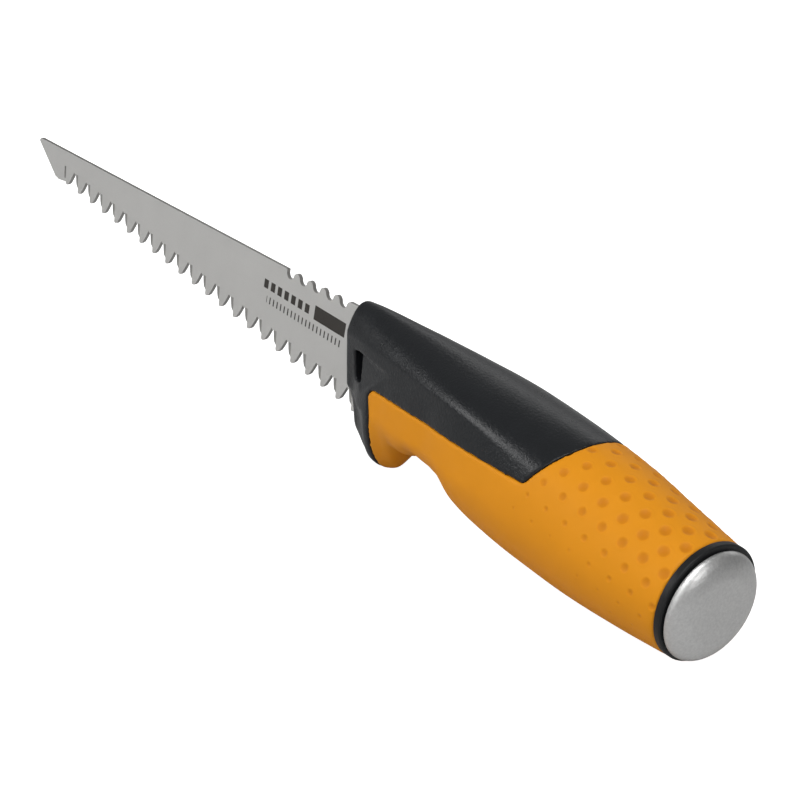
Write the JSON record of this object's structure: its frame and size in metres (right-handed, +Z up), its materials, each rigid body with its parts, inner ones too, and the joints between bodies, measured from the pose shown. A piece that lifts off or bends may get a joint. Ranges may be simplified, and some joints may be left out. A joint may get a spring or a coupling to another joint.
{
  "type": "drywall saw",
  "caption": "Drywall saw with a pointed coarse-tooth steel blade, a black and orange handle with dimples, and a steel strike cap.",
  "frame": {"origin": "centre of the flat strike face at the back end of the handle", "axes": "+X along the tool towards the blade tip, +Y towards its left side, +Z up towards the blade's spine"},
  "size_m": [0.2706, 0.0326, 0.0374],
  "materials": {
    "blade_steel": "satin, bead blasted",
    "cap_steel": "satin, sandblasted",
    "black_plastic": "fine moulded texture",
    "orange_rubber": "soft matte with moulded dimples",
    "seal_rubber": "matte",
    "pin_steel": "bright drawn"
  },
  "bodies": {
    "root": {"blade": "blade_steel", "tang_pins": "pin_steel", "tang_stud": "pin_steel", "stud_pin": "pin_steel", "handle_core": "black_plastic", "soft_grip": "orange_rubber", "end_collar": "black_plastic", "seal_ring": "seal_rubber", "strike_cap": "cap_steel"}
  },
  "joints": []
}
